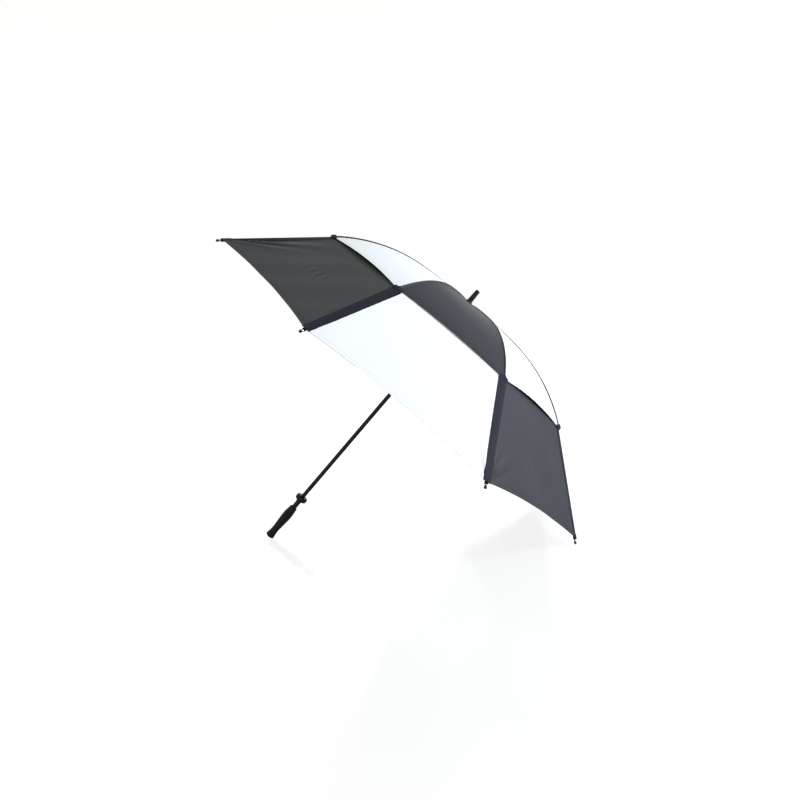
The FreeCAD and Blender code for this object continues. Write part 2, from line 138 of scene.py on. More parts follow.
class ShaderTree:
    """A shader tree that is being put together."""

    def __init__(self, tree: bpy.types.NodeTree) -> None:
        """Empties a tree and starts on it."""
        self.tree = tree
        self.tree.nodes.clear()

    def node(self, kind: str, settings: dict | None = None, inputs: dict | None = None) -> bpy.types.Node:
        """Adds a node of any type.

        Args:
            kind: The node's type.
            settings: Attributes that are set first.
            inputs: Values or output sockets by socket name or number.

        Returns:
            The node.
        """
        node = self.tree.nodes.new(kind)
        for key, value in (settings or {}).items():
            setattr(node, key, value)
        for key, value in (inputs or {}).items():
            if isinstance(value, Number):
                value = value.socket
            if isinstance(value, bpy.types.NodeSocket):
                self.tree.links.new(value, node.inputs[key])
            else:
                node.inputs[key].default_value = value
        return node

    def parts(self, vector: bpy.types.NodeSocket) -> list[Number]:
        """A vector's three components."""
        split = self.node("ShaderNodeSeparateXYZ", {}, {0: vector})
        return [Number(self, socket) for socket in split.outputs]

    def mixed(self, share: Number, low: Colour, high: Colour) -> bpy.types.NodeSocket:
        """A colour between two, by a share from 0 to 1."""
        mix = self.node("ShaderNodeMix", {"data_type": "RGBA"})
        colours = {socket.name: socket for socket in mix.inputs if socket.type == "RGBA"}
        colours["A"].default_value = (*low, 1.0)
        colours["B"].default_value = (*high, 1.0)
        self.tree.links.new(share.socket, mix.inputs["Factor"])
        return next(socket for socket in mix.outputs if socket.type == "RGBA")


class Recipe(ShaderTree):
    """A material that is being put together round one Principled shader."""

    def __init__(self, name: str, **constants: object) -> None:
        """Starts a material.

        Args:
            name: The material's name.
            constants: Values for the shader's sockets, with underscores for spaces.
        """
        self.material = bpy.data.materials.new(name)
        self.material.use_nodes = True
        super().__init__(self.material.node_tree)
        self.shader = self.node("ShaderNodeBsdfPrincipled")
        self.node("ShaderNodeOutputMaterial", {}, {"Surface": self.shader.outputs[0]})
        for key, value in constants.items():
            self.shader.inputs[key.replace("_", " ")].default_value = value

    def feed(self, socket: str, source: object) -> None:
        """Links a Number or an output socket to one of the shader's sockets."""
        wire = source.socket if isinstance(source, Number) else source
        self.tree.links.new(wire, self.shader.inputs[socket])

    def place(self) -> bpy.types.NodeSocket:
        """Object coordinates."""
        return self.node("ShaderNodeTexCoord").outputs["Object"]

    def thread_lines(self) -> tuple[Number, Number]:
        """The piece's own UV map as two Numbers: across the cloth and along it, in metres."""
        uv = self.node("ShaderNodeUVMap", {"uv_map": "cloth"})
        across, along, _ = self.parts(uv.outputs[0])
        return across, along

    def noise(self, scale: float, detail: float = 3.0, vector: object = None) -> Number:
        """Smooth noise from 0 to 1.

        Args:
            scale: Features per metre.
            detail: Octaves.
            vector: Where it is read; object coordinates if left out.

        Returns:
            The noise.
        """
        where = vector or self.place()
        node = self.node("ShaderNodeTexNoise", {}, {"Vector": where, "Scale": scale, "Detail": detail})
        return Number(self, node.outputs[0])

    def stretched(self, scale: Colour, turn: Colour = (0.0, 0.0, 0.0)) -> bpy.types.NodeSocket:
        """Object coordinates, turned and then scaled along each axis."""
        inputs = {"Vector": self.place(), "Scale": scale, "Rotation": turn}
        return self.node("ShaderNodeMapping", {"vector_type": "POINT"}, inputs).outputs[0]

    def raised(
        self, height: Number, distance: float, strength: float, below: object = None
    ) -> bpy.types.NodeSocket:
        """A bumped normal.

        Args:
            height: The height, about 0 to 1.
            distance: What a height of 1 stands for, in metres.
            strength: Share of the bump.
            below: A normal that this one adds to.

        Returns:
            The normal.
        """
        inputs = {"Height": height, "Distance": distance, "Strength": strength}
        if below is not None:
            inputs["Normal"] = below
        return self.node("ShaderNodeBump", {}, inputs).outputs[0]


def shaded(colour: Colour, factor: float) -> Colour:
    """A colour made lighter or darker."""
    return tuple(min(1.0, c * factor) for c in colour)


@dataclass(frozen=True)
class Woven:
    """Woven cloth: crossing threads, soft sheen, slight cloudiness."""

    name: str
    colour: Colour
    pitch: float = 0.00042
    roughness: float = 0.56
    sheen: float = 0.10
    shine: float = 0.24
    clouding: float = 0.06
    diagonal: bool = False

    def material(self) -> bpy.types.Material:
        """Threads are the product of two sines, or for a twill tape the sine of a diagonal."""
        recipe = Recipe(
            self.name,
            Sheen_Weight=self.sheen,
            Sheen_Roughness=0.45,
            Specular_IOR_Level=self.shine,
        )
        across, along = recipe.thread_lines()
        wave = 2.0 * math.pi / self.pitch
        if self.diagonal:
            weave = ((across + along * 0.6) * wave).sine()
            coarse = (along * (wave / 3.0)).sine()
            weave = weave * 0.7 + coarse * 0.3
        else:
            weave = (across * wave).sine() * (along * wave).sine()
        cloud = recipe.noise(9.0, 4.0)
        slub = recipe.noise(650.0, 2.0)
        share = cloud * 0.7 + slub * 0.3
        low = shaded(self.colour, 1.0 - self.clouding)
        high = shaded(self.colour, 1.0 + self.clouding)
        recipe.feed("Base Color", recipe.mixed(share, low, high))
        recipe.feed("Roughness", self.roughness + (cloud - 0.5) * 0.14)
        crumple = recipe.raised(recipe.noise(34.0, 3.0), 0.0011, 0.35)
        recipe.feed("Normal", recipe.raised(weave * 0.5 + 0.5, 0.00005, 0.35, crumple))
        return recipe.material


@dataclass(frozen=True)
class Moulded:
    """Moulded plastic or rubber: a fine grain, with rubbed patches that shine differently."""

    name: str
    colour: Colour
    roughness: float
    grain: float
    grain_height: float
    wear: float = 0.08
    coat: float = 0.0
    shine: float = 0.3

    def material(self) -> bpy.types.Material:
        """Grain is fine noise, wear is broad noise sharpened by a power."""
        recipe = Recipe(self.name, Coat_Weight=self.coat, Coat_Roughness=0.08, Specular_IOR_Level=self.shine)
        grain = recipe.noise(self.grain, 2.0)
        broad = recipe.noise(38.0, 4.0)
        rubbed = broad ** 3.0
        recipe.feed("Base Color", recipe.mixed(rubbed * 2.0, self.colour, shaded(self.colour, 1.9)))
        recipe.feed("Roughness", self.roughness + (broad - 0.5) * 2.0 * self.wear)
        recipe.feed("Normal", recipe.raised(grain, self.grain_height, 0.5))
        return recipe.material


@dataclass(frozen=True)
class Metal:
    """Bare, plated or anodised metal with drawn lines along the umbrella."""

    name: str
    colour: Colour
    roughness: float
    metallic: float = 1.0
    brushing: float = 0.12

    def material(self) -> bpy.types.Material:
        """Drawn lines are noise stretched along one axis; smudges are broad noise."""
        recipe = Recipe(self.name, Metallic=self.metallic)
        lines = recipe.noise(1.0, 2.0, recipe.stretched((2600.0, 2600.0, 90.0)))
        smudge = recipe.noise(55.0, 4.0)
        low = shaded(self.colour, 0.86)
        recipe.feed("Base Color", recipe.mixed(smudge * 0.6 + lines * 0.4, low, shaded(self.colour, 1.08)))
        recipe.feed("Roughness", self.roughness + (smudge - 0.5) * 0.16 + (lines - 0.5) * self.brushing)
        recipe.feed("Normal", recipe.raised(lines, 0.00002, 0.4))
        return recipe.material


@dataclass(frozen=True)
class Lacquer:
    """Black paint on a tube: slight orange peel, fine dust and rubbed streaks."""

    name: str
    colour: Colour
    roughness: float
    coat: float = 0.15

    def material(self) -> bpy.types.Material:
        """Orange peel is noise at a few hundred per metre; dust lifts the colour a little."""
        recipe = Recipe(self.name, Coat_Roughness=0.12, Specular_IOR_Level=0.3)
        peel = recipe.noise(420.0, 2.0)
        dust = recipe.noise(900.0, 3.0) ** 6.0
        streak = recipe.noise(1.0, 3.0, recipe.stretched((60.0, 60.0, 60.0)))
        recipe.feed("Base Color", recipe.mixed(dust * 3.0, self.colour, shaded(self.colour, 4.0)))
        recipe.feed("Roughness", self.roughness + (streak - 0.5) * 0.18)
        recipe.feed("Coat Weight", self.coat + (streak - 0.5) * 0.2)
        recipe.feed("Normal", recipe.raised(peel, 0.00003, 0.35))
        return recipe.material


class Slot(Enum):
    """The record's material slots and the finish that each is given."""

    BLACK_CLOTH = Woven("black_cloth_finish", (0.0210, 0.0215, 0.0262))
    WHITE_CLOTH = Woven("white_cloth_finish", (0.85, 0.85, 0.87), sheen=0.1, clouding=0.012)
    SHAFT_PAINT = Lacquer("shaft_lacquer", (0.007, 0.007, 0.0075), 0.3)
    RIB_FIBREGLASS = Moulded("rib_rod", (0.012, 0.012, 0.013), 0.34, 700.0, 0.00004, coat=0.1)
    STRETCHER_METAL = Metal("stretcher_anodised", (0.05, 0.05, 0.054), 0.38, metallic=0.8)
    TIP_METAL = Metal("tip_nickel", (0.50, 0.50, 0.50), 0.24)
    SPRING_STEEL = Metal("spring_wire", (0.46, 0.46, 0.47), 0.3)
    HEAD_PLASTIC = Moulded("head_nylon", (0.018, 0.018, 0.019), 0.5, 900.0, 0.00005)
    GLOSS_PLASTIC = Moulded("gloss_moulding", (0.004, 0.004, 0.0045), 0.15, 500.0, 0.00002, 0.04, shine=0.34)
    GRIP_RUBBER = Moulded(
        "grip_rubber_finish", (0.0065, 0.0066, 0.0060), 0.36, grain=1400.0, grain_height=0.00008, wear=0.1
    )

    @property
    def key(self) -> str:
        """The slot's name in the record."""
        return self.name.lower()


class Trim(Enum):
    """Finishes of the small sewn and fitted pieces, which have no slot of their own."""

    TAPE = Woven("seam_tape", (0.0155, 0.0158, 0.0225), 0.0009, 0.66, 0.03, 0.12, 0.12, True)
    BLACK_THREAD = Woven("black_thread", (0.009, 0.009, 0.010), 0.0003, 0.5, 0.1, 0.2, 0.1, True)
    WHITE_THREAD = Woven("white_thread", (0.78, 0.79, 0.82), 0.0003, 0.5, 0.1, 0.2, 0.05, True)
    BEAD = Moulded("tip_bead", (0.011, 0.011, 0.012), 0.24, 600.0, 0.00003, 0.05, 0.3)


class Finishes:
    """Makes each material once and hands it out."""

    def __init__(self) -> None:
        """Starts with nothing made."""
        self.made: dict[Enum, bpy.types.Material] = {}

    def of(self, choice: Enum) -> bpy.types.Material:
        """The material of a Slot or Trim."""
        if choice not in self.made:
            self.made[choice] = choice.value.material()
        return self.made[choice]


FINISHES = Finishes()


# ---------------------------------------------------------------- meshes


@dataclass
class Skin:
    """Points, faces and what they carry, before they become a mesh."""

    points: Array
    faces: list
    normals: Array | None = None
    cloth: Array | None = None
    paint: list = field(default_factory=list)

    def joined(self, other: "Skin", paint: int = 0) -> "Skin":
        """This skin and another as one, the other's faces taking the given material number."""

        def both(first: Array | None, second: Array | None) -> Array | None:
            """Two arrays as one, where there are any."""
            return None if first is None else np.concatenate([first, second])

        shift = len(self.points)
        faces = self.faces + [[i + shift for i in f] for f in other.faces]
        marks = (self.paint or [0] * len(self.faces)) + [paint] * len(other.faces)
        points = np.concatenate([self.points, other.points])
        return Skin(points, faces, both(self.normals, other.normals), both(self.cloth, other.cloth), marks)

    def make(self, name: str, body: str, materials: list) -> bpy.types.Object:
        """Makes the object and rides it on a body.

        Args:
            name: The piece's name.
            body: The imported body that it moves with.
            materials: Its finishes, by the faces' material numbers.

        Returns:
            The object, at the origin.
        """
        mesh = bpy.data.meshes.new(name)
        mesh.from_pydata(self.points.tolist(), [], self.faces)
        for choice in materials:
            mesh.materials.append(FINISHES.of(choice))
        if self.paint:
            mesh.polygons.foreach_set("material_index", self.paint)
        mesh.polygons.foreach_set("use_smooth", [True] * len(self.faces))
        corner = np.zeros(len(mesh.loops), np.int32)
        mesh.loops.foreach_get("vertex_index", corner)
        if self.cloth is not None:
            layer = mesh.uv_layers.new(name="cloth")
            layer.data.foreach_set("uv", self.cloth[corner].astype(np.float32).ravel())
        if self.normals is not None:
            mesh.normals_split_custom_set_from_vertices(self.normals.tolist())
        mesh.update()
        piece = bpy.data.objects.new(name, mesh)
        bpy.context.scene.collection.objects.link(piece)
        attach(piece, body)
        log.info("%s: %d faces on %s", name, len(self.faces), body)
        return piece


def grid_faces(rows: int, columns: int, start: int = 0, flip: bool = False) -> Array:
    """Quads of a grid of points numbered row by row.

    Args:
        rows: Number of rows.
        columns: Number of columns.
        start: The first point's number.
        flip: Turns the faces over.

    Returns:
        One row of four point numbers for each quad.
    """
    number = np.arange(rows * columns).reshape(rows, columns) + start
    quads = np.stack([number[:-1, :-1], number[1:, :-1], number[1:, 1:], number[:-1, 1:]], axis=-1)
    quads = quads.reshape(-1, 4)
    return quads[:, ::-1] if flip else quads


def shell(outside: Array, inside: Array, normals: Array, cloth: Array) -> Skin:
    """A closed thin sheet from two grids, with walls round their edges.

    Args:
        outside: Points of the outer face, rows by columns.
        inside: Points of the inner face.
        normals: Outward normals.
        cloth: UV in metres.

    Returns:
        The closed skin.
    """
    rows, columns = outside.shape[:2]
    count = rows * columns
    down = outside[1, 0] - outside[0, 0]
    side = outside[0, 1] - outside[0, 0]
    flip = bool(np.dot(np.cross(down, side), normals[0, 0]) < 0)
    outer = grid_faces(rows, columns, 0, flip)
    inner = grid_faces(rows, columns, count, not flip)
    number = np.arange(count).reshape(rows, columns)
    rim = np.concatenate([number[0, :], number[1:, -1], number[-1, -2::-1], number[-2:0:-1, 0]])
    ahead = np.roll(rim, -1)
    walls = np.stack([rim, ahead, ahead + count, rim + count], axis=-1)
    if flip:
        walls = walls[:, ::-1]
    faces = np.concatenate([outer, inner, walls]).tolist()
    flat = normals.reshape(-1, 3)
    uv = cloth.reshape(-1, 2)
    points = np.concatenate([outside.reshape(-1, 3), inside.reshape(-1, 3)])
    return Skin(points, faces, np.concatenate([flat, -flat]), np.concatenate([uv, uv]))


def ring_band(
    profile: Array, centre: Array, along: Array, first: Array, second: Array, sides: int = 28
) -> Skin:
    """A closed ring: a closed outline of (along, radius across, radius up) carried round an axis.

    A point is centre + along * a + first * ra * cos(turn) + second * rb * sin(turn).

    Args:
        profile: The outline, one row of three numbers for each point, with no repeated end.
        centre: Where the axis starts.
        along: The axis.
        first: Direction of the first radius.
        second: Direction of the second radius.
        sides: Points round the ring.

    Returns:
        The closed ring.
    """
    turn = np.arange(sides) * (2.0 * math.pi / sides)
    a, ra, rb = (profile[None, :, k, None] for k in range(3))
    cos, sin = np.cos(turn)[:, None, None], np.sin(turn)[:, None, None]
    points = centre + along * a + first * ra * cos + second * rb * sin
    number = np.arange(sides * len(profile)).reshape(sides, len(profile))
    ahead, beside = np.roll(number, -1, 0), np.roll(number, -1, 1)
    corner = np.roll(ahead, -1, 1)
    quads = np.stack([number, ahead, corner, beside], axis=-1).reshape(-1, 4)
    return facing_out(Skin(points.reshape(-1, 3), quads.tolist()))


def turned_solid(profile: Array, centre: Array, axis: Array, sides: int = 36) -> Skin:
    """A solid turned round an axis from (along, radius) points; its first and last radius are zero.

    Args:
        profile: The outline from pole to pole.
        centre: Where the axis starts.
        axis: The axis's direction.
        sides: Points round each ring.

    Returns:
        The closed solid.
    """
    across = unit(np.cross(axis, [0.3, 0.9, 0.2]))
    up = np.cross(axis, across)
    turn = np.arange(sides) * (2.0 * math.pi / sides)
    spoke = across * np.cos(turn)[:, None] + up * np.sin(turn)[:, None]
    rings = centre + axis * profile[1:-1, 0, None, None] + spoke[None] * profile[1:-1, 1, None, None]
    poles = centre + axis * profile[[0, -1], 0, None]
    points = np.concatenate([rings.reshape(-1, 3), poles])
    number = np.arange(rings.shape[0] * sides).reshape(-1, sides)
    ahead = np.roll(number, -1, 1)
    quads = np.stack([number[:-1], number[1:], ahead[1:], ahead[:-1]], axis=-1).reshape(-1, 4)
    first_pole = len(points) - 2
    caps = [[first_pole, a, b] for a, b in zip(number[0], ahead[0])]
    caps += [[first_pole + 1, b, a] for a, b in zip(number[-1], ahead[-1])]
    return facing_out(Skin(points, quads.tolist() + [list(map(int, c)) for c in caps]))


def facing_out(skin: Skin) -> Skin:
    """Turns a closed skin's faces over if its volume, summed over its faces, comes out negative."""
    volume = 0.0
    for size in {len(f) for f in skin.faces}:
        corner = skin.points[np.array([f for f in skin.faces if len(f) == size])]
        for k in range(1, size - 1):
            volume += np.einsum("ij,ij->i", corner[:, 0], np.cross(corner[:, k], corner[:, k + 1])).sum()
    if volume < 0:
        skin.faces = [f[::-1] for f in skin.faces]
    return skin


@dataclass(frozen=True)
class Stitch:
    """One visible stitch of thread, a rounded bar, repeated along a line."""

    length: float = 0.0024
    gap: float = 0.0008
    radius: float = 0.00021

    def row(self, line: Array, normals: Array) -> Skin:
        """Stitches along a line of points.

        Args:
            line: Points close together along the row.
            normals: The cloth's outward normals there.

        Returns:
            All the stitches as one skin.
        """
        steps = np.linalg.norm(np.diff(line, axis=0), axis=1)
        travelled = np.concatenate([[0.0], np.cumsum(steps)])
        count = int(travelled[-1] / (self.length + self.gap))
        at = (np.arange(count) + 0.5) * travelled[-1] / count

        def read(values: Array, where: Array) -> Array:
            """Values interpolated along the line."""
            return np.stack([np.interp(where, travelled, values[:, k]) for k in range(3)], axis=1)

        middle = read(line, at)
        along = unit(read(line, at + 0.0005) - read(line, at - 0.0005))
        up = unit(read(normals, at))
        across = unit(np.cross(up, along))
        reach = np.array([-0.5, -0.36, 0.0, 0.36, 0.5]) * self.length
        girth = np.array([0.35, 0.95, 1.0, 0.95, 0.35]) * self.radius
        turn = np.arange(6) * math.pi / 3.0
        along_part = along[:, None, None] * reach[None, :, None, None]
        across_part = across[:, None, None] * (girth[:, None] * np.cos(turn))[None, :, :, None]
        up_part = up[:, None, None] * (girth[:, None] * np.sin(turn))[None, :, :, None]
        points = (middle[:, None, None] + along_part + across_part + up_part).reshape(-1, 3)
        number = np.arange(30).reshape(5, 6)
        ahead = np.roll(number, -1, 1)
        quads = np.stack([number[:-1], ahead[:-1], ahead[1:], number[1:]], axis=-1).reshape(-1, 4)
        bar = quads.tolist() + [number[0, ::-1].tolist(), number[-1].tolist()]
        faces = [[i + 30 * k for i in f] for k in range(count) for f in bar]
        outward = unit((across_part + up_part).reshape(count, 30, 3)).reshape(-1, 3)
        cloth = np.zeros((len(points), 2))
        cloth[:, 1] = np.tile(np.repeat(reach, 6), count)
        return Skin(points, faces, outward, cloth)


# ---------------------------------------------------------------- the umbrella's geometry


class Stance:
    """How the upright umbrella lies on the floor, read from the record's mounts."""

    def __init__(self, record: dict) -> None:
        """The grip mount gives the shaft's direction, and lies at a known height on it."""
        grip = next(m for m in record["mounts"] if m["name"] == "hand_grip")
        self.up = unit(np.array(grip["axis"], float))
        self.side = np.array([0.0, 1.0, 0.0])
        self.down_side = unit(np.cross(self.side, self.up))
        self.start = np.array(grip["pos_m"], float) - self.up * GRIP_MOUNT_HEIGHT

    def lay(self, points: Array) -> Array:
        """Upright points carried to where they lie."""
        return self.start + self.lean(points)

    def lean(self, vectors: Array) -> Array:
        """Upright directions turned to how they lie."""
        x, y, z = vectors[..., 0:1], vectors[..., 1:2], vectors[..., 2:3]
        return x * self.down_side + y * self.side + z * self.up


STANCE = Stance(frame["record"])


@dataclass(frozen=True)
class Dome:
    """Outline of the open canopy in the plane of a rib: flat crown, sprung shoulder, straight skirt.

    A station is the distance from the shaft axis at which the outline is taken.
    """

    apex: float = 0.916
    crown_radius: float = 1.700
    crown_reach: float = 0.183
    shoulder_radius: float = 0.476
    skirt: float = math.radians(40.3)
    span: float = 0.655
    rod_depth: float = 0.0047
    ball: float = 0.0036

    @property
    def shoulder_middle(self) -> tuple[float, float]:
        """Centre of the shoulder's arc, which meets the crown's arc without a corner."""
        turn = math.asin(self.crown_reach / self.crown_radius)
        left = self.crown_radius - self.shoulder_radius
        return left * math.sin(turn), self.apex - self.crown_radius + left * math.cos(turn)

    @property
    def shoulder_reach(self) -> float:
        """Station where the shoulder ends and the skirt starts."""
        return self.shoulder_middle[0] + self.shoulder_radius * math.sin(self.skirt)

    def slope(self, station: Array) -> Array:
        """Angle below level: the arc's own on crown and shoulder, and fixed on the skirt."""
        crown = np.arcsin(np.clip(station / self.crown_radius, 0.0, 1.0))
        turn = np.clip((station - self.shoulder_middle[0]) / self.shoulder_radius, 0.0, 1.0)
        shoulder = np.minimum(np.arcsin(turn), self.skirt)
        return np.where(station < self.crown_reach, crown, shoulder)

    def height(self, station: Array) -> Array:
        """Height of the outline: the two arcs, then down the skirt at its slope."""
        slope = self.slope(station)
        crown = self.apex - self.crown_radius * (1.0 - np.cos(slope))
        beyond = np.maximum(station - self.shoulder_reach, 0.0) * math.tan(self.skirt)
        shoulder = self.shoulder_middle[1] + self.shoulder_radius * np.cos(slope) - beyond
        return np.where(station < self.crown_reach, crown, shoulder)

    def length(self, start: float, end: float) -> float:
        """Length of the outline between two stations, summed over short steps."""
        stations = np.linspace(start, end, 200)
        return float(np.hypot(np.diff(stations), np.diff(self.height(stations))).sum())

    def rib_point(self, rib: int, station: float, depth: float) -> Array:
        """A point in a rib's plane, that far below the skin."""
        slope = float(self.slope(np.array(station)))
        radius = station - depth * math.sin(slope)
        height = float(self.height(np.array(station))) - depth * math.cos(slope)
        turn = rib_turn(rib)
        return np.array([radius * math.cos(turn), radius * math.sin(turn), height])

    def rib_frame(self, rib: int, slope: float) -> tuple[Array, Array, Array]:
        """Directions down a rib, round the shaft and out of the dome, for a slope."""
        turn = rib_turn(rib)
        out = np.array([math.cos(turn), math.sin(turn), 0.0])
        up = np.array(UP)
        down_rib = out * math.cos(slope) - up * math.sin(slope)
        outward = out * math.sin(slope) + up * math.cos(slope)
        return down_rib, np.cross(up, out), outward


def rib_turn(rib: int) -> float:
    """Direction of a rib about the shaft, in radians; the first and the last lie on the floor."""
    return (rib - 0.5) * 2.0 * HALF_SECTOR


DOME = Dome()


@dataclass(frozen=True)
class Crease:
    """A fold of a panel that runs out of one of its lower corners.

    end is -1 for the corner at the panel's first rib and 1 for the other; turn is the angle
    from the rib; reach is how far it runs, and height how high it stands.
    """

    panel: int
    end: int
    turn: float
    reach: float
    height: float


@dataclass(frozen=True)
class Ripple:
    """A short run of parallel folds in the middle of a panel."""

    panel: int
    across: float
    up: float
    spacing: float = 0.026
    height: float = 0.0008
    spread: float = 0.05
    depth: float = 0.013
    lean: float = 0.5


@dataclass(frozen=True)
class Wrinkling:
    """How the cloth departs from its straight-across surface; outward is positive."""

    creases: tuple[Crease, ...] = (
        Crease(7, -1, 0.30, 0.075, 0.0042),
        Crease(7, -1, 0.50, 0.100, -0.0036),
        Crease(7, -1, 0.72, 0.090, 0.0045),
        Crease(7, -1, 0.98, 0.110, -0.0022),
        Crease(7, 1, 0.20, 0.090, 0.0018),
        Crease(5, -1, 0.12, 0.190, -0.0064),
        Crease(5, -1, 0.26, 0.150, 0.0046),
        Crease(5, -1, 0.36, 0.150, -0.0040),
        Crease(5, -1, 0.50, 0.120, 0.0026),
        Crease(5, 1, 0.30, 0.080, 0.0014),
        Crease(6, -1, 0.35, 0.090, 0.0018),
        Crease(6, 1, 0.30, 0.110, 0.0020),
        Crease(6, 1, 0.60, 0.090, -0.0014),
    )
    ripples: tuple[Ripple, ...] = (Ripple(5, 0.012, 0.150), Ripple(2, -0.03, 0.12, height=0.0006))
    pucker: float = 0.00035
    pucker_spacing: float = 0.0105
    slack: float = 0.00045
    seed: int = 41

    def seeded(self, panel: int) -> list[Crease]:
        """The panel's own creases, and where it has none, two or three drawn at each corner."""
        own = [c for c in self.creases if c.panel == panel]
        if own:
            return own
        draw = np.random.default_rng(self.seed + panel)
        drawn = []
        for end in (-1, 1):
            for _ in range(int(draw.integers(2, 4))):
                turn, reach = draw.uniform(0.15, 0.95), draw.uniform(0.06, 0.13)
                height = draw.choice([-1.0, 1.0]) * draw.uniform(0.0010, 0.0030)
                drawn.append(Crease(panel, end, float(turn), float(reach), float(height)))
        return drawn

    def crease_rise(self, crease: Crease, across: Array, up: Array) -> Array:
        """Rise of one crease: a ridge along its ray, that swells from the corner and dies at its reach.

        Args:
            crease: The crease.
            across: Distance from the crease's rib, across the cloth.
            up: Distance from the hem, up the rib.

        Returns:
            The rise.
        """
        away = np.hypot(across, up)
        off = away * (np.arctan2(across, up) - crease.turn)
        width = 0.0035 + 0.055 * away
        swell = smooth(away / 0.03) * np.exp(-((away / crease.reach) ** 2))
        sewn = 1.0 - np.exp(-((across / 0.006) ** 2))
        return crease.height * swell * sewn * np.exp(-((off / width) ** 2))

    def ripple_rise(self, ripple: Ripple, sideways: Array, up: Array) -> Array:
        """Rise of a run of ripples: a sine inside a soft oval window."""
        x, y = sideways - ripple.across, up - ripple.up
        window = np.exp(-((x / ripple.spread) ** 2) - (((y - ripple.lean * 0.3 * x) / ripple.depth) ** 2))
        return ripple.height * window * np.sin(2.0 * math.pi * (x + ripple.lean * y) / ripple.spacing)


WRINKLING = Wrinkling()


class Layer(Enum):
    """The two cloth layers, by how far their outer faces lie below the dome's outline."""

    UPPER = 0.0
    LOWER = 0.0011


@dataclass(frozen=True)
class Gore:
    """One panel of one layer, between a rib and the next.

    A place on it is a station, and a share across from -1 at its first rib to 1 at the next.
    """

    number: int
    layer: Layer
    thickness: float = 0.0006
    vent_edge: float = 0.425
    vent_hollow: float = 0.009
    inner_edge: float = 0.352
    inner_hollow: float = 0.004
    hem: float = 0.646
    hem_hollow: float = 0.012
    white_lift: float = 0.0036
    black_lift: float = 0.0020
    crown_slack: float = 0.0045
    crown_sag_place: float = 0.165
    crown_sag_width: float = 0.085
    lift_start: float = 0.325
    skirt_slack: float = 0.003
    skirt_start: float = 0.43
    seam_ridge: float = 0.0028
    seam_width: float = 0.0022
    pucker_reach: float = 0.010
    hem_rise: float = 0.0008

    @property
    def black(self) -> bool:
        """Upper panels are black where even, lower panels where odd."""
        return (self.number % 2 == 0) == (self.layer is Layer.UPPER)

    @property
    def slot(self) -> Slot:
        """The slot of its cloth."""
        return Slot.BLACK_CLOTH if self.black else Slot.WHITE_CLOTH

    def edge(self, radius: float, hollow: float, share: Array) -> Array:
        """Stations along an edge that is one arc from rib to rib, seen from above.

        The arc's radius is (half chord squared + hollow squared) / (2 hollow), and the station
        follows by repeating: (centre - root of (arc radius squared - sideways squared)) / cosine.

        Args:
            radius: The station at both ribs.
            hollow: How far the middle is set back from the straight line between them.
            share: Shares across.

        Returns:
            The stations.
        """
        if hollow == 0.0:
            return np.full(share.shape, radius)
        half = radius * math.sin(HALF_SECTOR)
        bend = (half**2 + hollow**2) / (2.0 * hollow)
        centre = radius * math.cos(HALF_SECTOR) - hollow + bend
        station = np.full(share.shape, radius)
        for _ in range(8):
            sideways = share * station * math.sin(HALF_SECTOR)
            station = (centre - np.sqrt(bend**2 - sideways**2)) / math.cos(HALF_SECTOR)
        return station

    def rise(self, station: Array, share: Array) -> Array:
        """How far the cloth stands out of its straight-across surface, by its layer."""
        half = station * math.sin(HALF_SECTOR)
        from_rib = np.maximum((1.0 - np.abs(share)) * half, 0.0)
        up = np.maximum(self.hem - station, 0.0) / math.cos(DOME.skirt)
        sideways = share * half
        beat = np.sin(2.0 * math.pi * up / WRINKLING.pucker_spacing + 1.7 * self.number)
        held = (1.0 - np.exp(-((from_rib / 0.002) ** 2))) * np.exp(-from_rib / self.pucker_reach)
        wave = np.sin(21.0 * sideways + 33.0 * up + self.number) + np.sin(47.0 * sideways - 19.0 * up)
        slow = (1.0 - share**2) * WRINKLING.slack * wave
        if self.layer is Layer.UPPER:
            return self.upper_rise(station, share, from_rib, slow, (beat + 1.0) * held)
        return self.lower_rise(station, share, up, slow + WRINKLING.pucker * beat * held)

    def upper_rise(self, station: Array, share: Array, from_rib: Array, slow: Array, pucker: Array) -> Array:
        """The upper cloth hangs in on the crown, lifts at the vent's edge and stands up along its seams.

        Args:
            station: Stations.
            share: Shares across.
            from_rib: Distances from the nearer rib.
            slow: Its slow wave.
            pucker: Its puckers along the seams, as a share of their height.

        Returns:
            The rise.
        """
        middle = 1.0 - share**2
        seam = self.seam_ridge * np.exp(-((from_rib / self.seam_width) ** 2)) * smooth(station / 0.06)
        crown = np.exp(-(((station - self.crown_sag_place) / self.crown_sag_width) ** 2))
        lifted = np.minimum(station, self.vent_edge) - self.lift_start
        lift = smooth(lifted / (self.vent_edge - self.lift_start)) ** 1.5
        free = 1.0 - smooth((station - 0.33) / 0.04)
        edge_lift = self.black_lift if self.black else self.white_lift
        total = middle * (edge_lift * lift - self.crown_slack * crown) + seam + free * 0.6 * slow
        return total + WRINKLING.pucker * 0.5 * pucker * smooth(station / 0.1)

    def lower_rise(self, station: Array, share: Array, up: Array, fine: Array) -> Array:
        """The lower cloth hangs in between its ribs, and carries the creases and ripples.

        Args:
            station: Stations.
            share: Shares across.
            up: Distances from the hem, up the rib.
            fine: Its slow wave and puckers.

        Returns:
            The rise.
        """
        half = station * math.sin(HALF_SECTOR)
        open_skirt = smooth((station - self.skirt_start) / 0.03)
        total = -self.skirt_slack * (1.0 - share**2) * smooth((station - 0.35) / 0.08) + open_skirt * fine
        for crease in WRINKLING.seeded(self.number):
            across = np.maximum((1.0 - crease.end * share) * half, 0.0)
            total = total + open_skirt * WRINKLING.crease_rise(crease, across, up)
        for ripple in WRINKLING.ripples:
            if ripple.panel == self.number:
                total = total + WRINKLING.ripple_rise(ripple, share * half, up)
        return total

